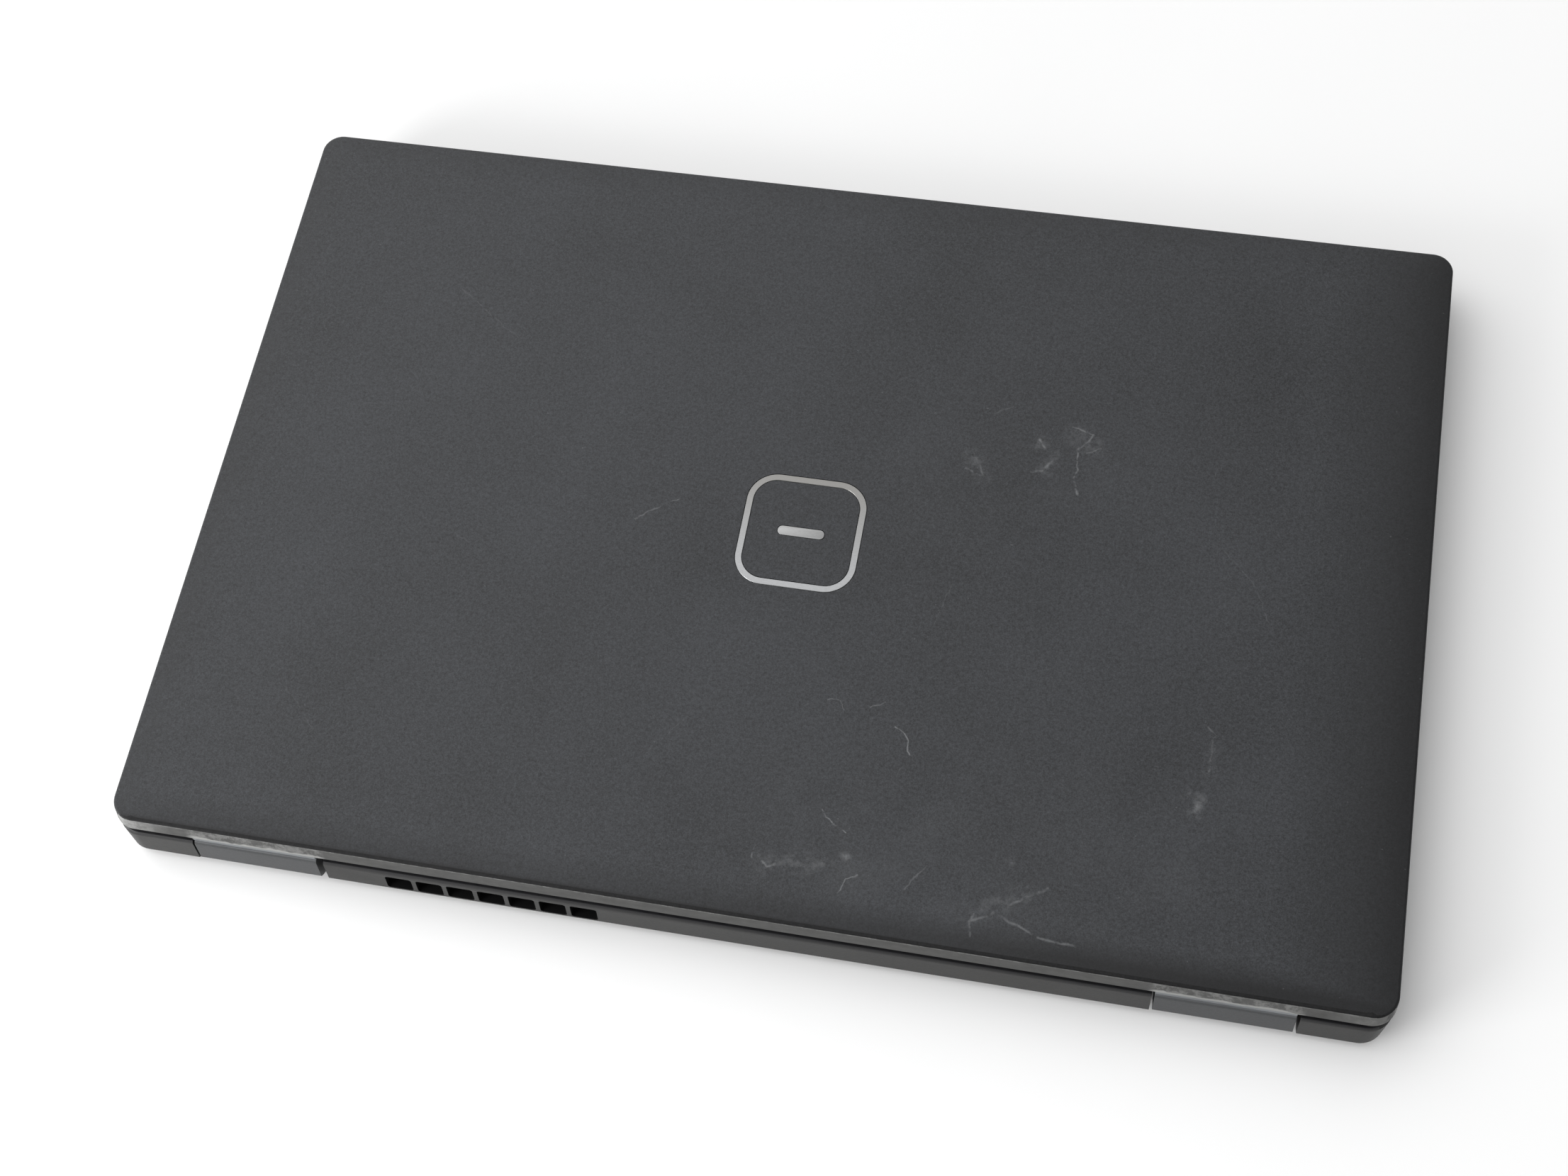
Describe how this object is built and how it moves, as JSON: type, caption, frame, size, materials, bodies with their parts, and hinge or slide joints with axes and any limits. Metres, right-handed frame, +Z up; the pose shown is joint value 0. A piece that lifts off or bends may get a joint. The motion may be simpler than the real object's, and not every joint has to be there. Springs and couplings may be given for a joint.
{
  "type": "laptop computer",
  "caption": "Closed 15.6-inch laptop with a dark matte lid, drop hinges, rear heat vents, numeric keypad, touchpad, side ports and a webcam cover.",
  "frame": {"origin": "centre of the bounding box at the surface the feet stand on", "axes": "+X to the user's right along the hinge line, +Y towards the hinge side, +Z up through the lid"},
  "size_m": [0.361, 0.2408, 0.018],
  "materials": {
    "lid_finish": "matte, fine speckle",
    "base_plastic": "matte moulded, fine texture",
    "bezel_plastic": "matte black",
    "keycap_plastic": "matte black, light grain",
    "display_glass": "anti-glare panel, switched off",
    "emblem_metal": "brushed silver",
    "steel": "stamped steel",
    "copper": "bare copper",
    "circuit_board": "solder mask",
    "black_plastic": "moulded",
    "rubber": "soft matte",
    "touch_surface": "satin coated"
  },
  "bodies": {
    "base": {"base_cover": "base_plastic", "palmrest_frame": "base_plastic", "keyboard_plate": "steel", "key_domes": "rubber", "touchpad_bracket": "steel", "system_board": "circuit_board", "processor": "black_plastic", "memory_module": "circuit_board", "solid_state_drive": "circuit_board", "wireless_card": "circuit_board", "coin_cell": "steel", "io_board": "circuit_board", "heat_pipe": "copper", "heat_spreader": "copper", "heat_sink_fins": "copper", "fan_housing": "black_plastic", "battery_pack": "black_plastic", "speakers": "black_plastic", "dc_in_socket": "black_plastic", "hdmi_socket": "steel", "usb_a_sockets": "steel", "usb_c_socket": "steel", "card_reader": "steel", "audio_jack": "black_plastic", "ethernet_socket": "steel", "rubber_feet": "rubber", "base_cover_screws": "steel", "hinge_bracket_left": "steel", "hinge_bracket_right": "steel", "display_cable_base": "black_plastic"},
    "lid": {"lid_cover": "lid_finish", "lid_emblem": "emblem_metal", "display_bezel": "bezel_plastic", "display_panel": "display_glass", "camera_module": "black_plastic", "lid_bumpers": "rubber", "hinge_cap_left": "base_plastic", "hinge_cap_right": "base_plastic", "hinge_arm_left": "steel", "hinge_arm_right": "steel", "display_cable_lid": "black_plastic"},
    "camera_shutter": {"camera_shutter": "bezel_plastic"},
    "fan_rotor": {"fan_rotor": "black_plastic"},
    "power_button": {"power_button": "keycap_plastic"},
    "touchpad": {"touchpad": "touch_surface"},
    "function_keys": {"function_keys": "keycap_plastic"},
    "number_keys": {"number_keys": "keycap_plastic"},
    "backspace_key": {"backspace_key": "keycap_plastic"},
    "tab_key": {"tab_key": "keycap_plastic"},
    "top_letter_keys": {"top_letter_keys": "keycap_plastic"},
    "caps_lock_key": {"caps_lock_key": "keycap_plastic"},
    "home_letter_keys": {"home_letter_keys": "keycap_plastic"},
    "enter_key": {"enter_key": "keycap_plastic"},
    "left_shift_key": {"left_shift_key": "keycap_plastic"},
    "bottom_letter_keys": {"bottom_letter_keys": "keycap_plastic"},
    "right_shift_key": {"right_shift_key": "keycap_plastic"},
    "control_keys": {"control_keys": "keycap_plastic"},
    "space_bar": {"space_bar": "keycap_plastic"},
    "arrow_keys": {"arrow_keys": "keycap_plastic"},
    "numpad_keys": {"numpad_keys": "keycap_plastic"}
  },
  "joints": [
    {"name": "lid_hinge", "type": "hinge", "parent": "base", "child": "lid", "pos_m": [0, 0.1146, 0.0068], "axis": [-1, 0, 0], "range_deg": [0, 118]},
    {"name": "shutter_slide", "type": "slide", "parent": "lid", "child": "camera_shutter", "axis": [-1, 0, 0], "range_m": [0, 0.0036]},
    {"name": "fan_spin", "type": "hinge", "parent": "base", "child": "fan_rotor", "pos_m": [0.072, 0.083, 0.0045], "axis": [0, 0, 1], "continuous": true},
    {"name": "power_press", "type": "slide", "parent": "base", "child": "power_button", "axis": [0, 0, -1], "range_m": [0, 0.0004], "stiffness_N_per_m": 2500, "springref_m": -0.0004},
    {"name": "touchpad_click", "type": "hinge", "parent": "base", "child": "touchpad", "pos_m": [-0.03, -0.042, 0.01085], "axis": [1, 0, 0], "range_deg": [0, 0.35], "stiffness_Nm_per_rad": 15, "springref_deg": -0.46},
    {"name": "function_press", "type": "slide", "parent": "base", "child": "function_keys", "axis": [0, 0, -1], "range_m": [0, 0.0012], "stiffness_N_per_m": 300, "springref_m": -0.001},
    {"name": "number_press", "type": "slide", "parent": "base", "child": "number_keys", "axis": [0, 0, -1], "range_m": [0, 0.0012], "stiffness_N_per_m": 300, "springref_m": -0.001},
    {"name": "backspace_press", "type": "slide", "parent": "base", "child": "backspace_key", "axis": [0, 0, -1], "range_m": [0, 0.0012], "stiffness_N_per_m": 300, "springref_m": -0.001},
    {"name": "tab_press", "type": "slide", "parent": "base", "child": "tab_key", "axis": [0, 0, -1], "range_m": [0, 0.0012], "stiffness_N_per_m": 300, "springref_m": -0.001},
    {"name": "top_letter_press", "type": "slide", "parent": "base", "child": "top_letter_keys", "axis": [0, 0, -1], "range_m": [0, 0.0012], "stiffness_N_per_m": 300, "springref_m": -0.001},
    {"name": "caps_lock_press", "type": "slide", "parent": "base", "child": "caps_lock_key", "axis": [0, 0, -1], "range_m": [0, 0.0012], "stiffness_N_per_m": 300, "springref_m": -0.001},
    {"name": "home_letter_press", "type": "slide", "parent": "base", "child": "home_letter_keys", "axis": [0, 0, -1], "range_m": [0, 0.0012], "stiffness_N_per_m": 300, "springref_m": -0.001},
    {"name": "enter_press", "type": "slide", "parent": "base", "child": "enter_key", "axis": [0, 0, -1], "range_m": [0, 0.0012], "stiffness_N_per_m": 300, "springref_m": -0.001},
    {"name": "left_shift_press", "type": "slide", "parent": "base", "child": "left_shift_key", "axis": [0, 0, -1], "range_m": [0, 0.0012], "stiffness_N_per_m": 300, "springref_m": -0.001},
    {"name": "bottom_letter_press", "type": "slide", "parent": "base", "child": "bottom_letter_keys", "axis": [0, 0, -1], "range_m": [0, 0.0012], "stiffness_N_per_m": 300, "springref_m": -0.001},
    {"name": "right_shift_press", "type": "slide", "parent": "base", "child": "right_shift_key", "axis": [0, 0, -1], "range_m": [0, 0.0012], "stiffness_N_per_m": 300, "springref_m": -0.001},
    {"name": "control_press", "type": "slide", "parent": "base", "child": "control_keys", "axis": [0, 0, -1], "range_m": [0, 0.0012], "stiffness_N_per_m": 300, "springref_m": -0.001},
    {"name": "space_press", "type": "slide", "parent": "base", "child": "space_bar", "axis": [0, 0, -1], "range_m": [0, 0.0012], "stiffness_N_per_m": 300, "springref_m": -0.001},
    {"name": "arrow_press", "type": "slide", "parent": "base", "child": "arrow_keys", "axis": [0, 0, -1], "range_m": [0, 0.0012], "stiffness_N_per_m": 300, "springref_m": -0.001},
    {"name": "numpad_press", "type": "slide", "parent": "base", "child": "numpad_keys", "axis": [0, 0, -1], "range_m": [0, 0.0012], "stiffness_N_per_m": 300, "springref_m": -0.001}
  ]
}
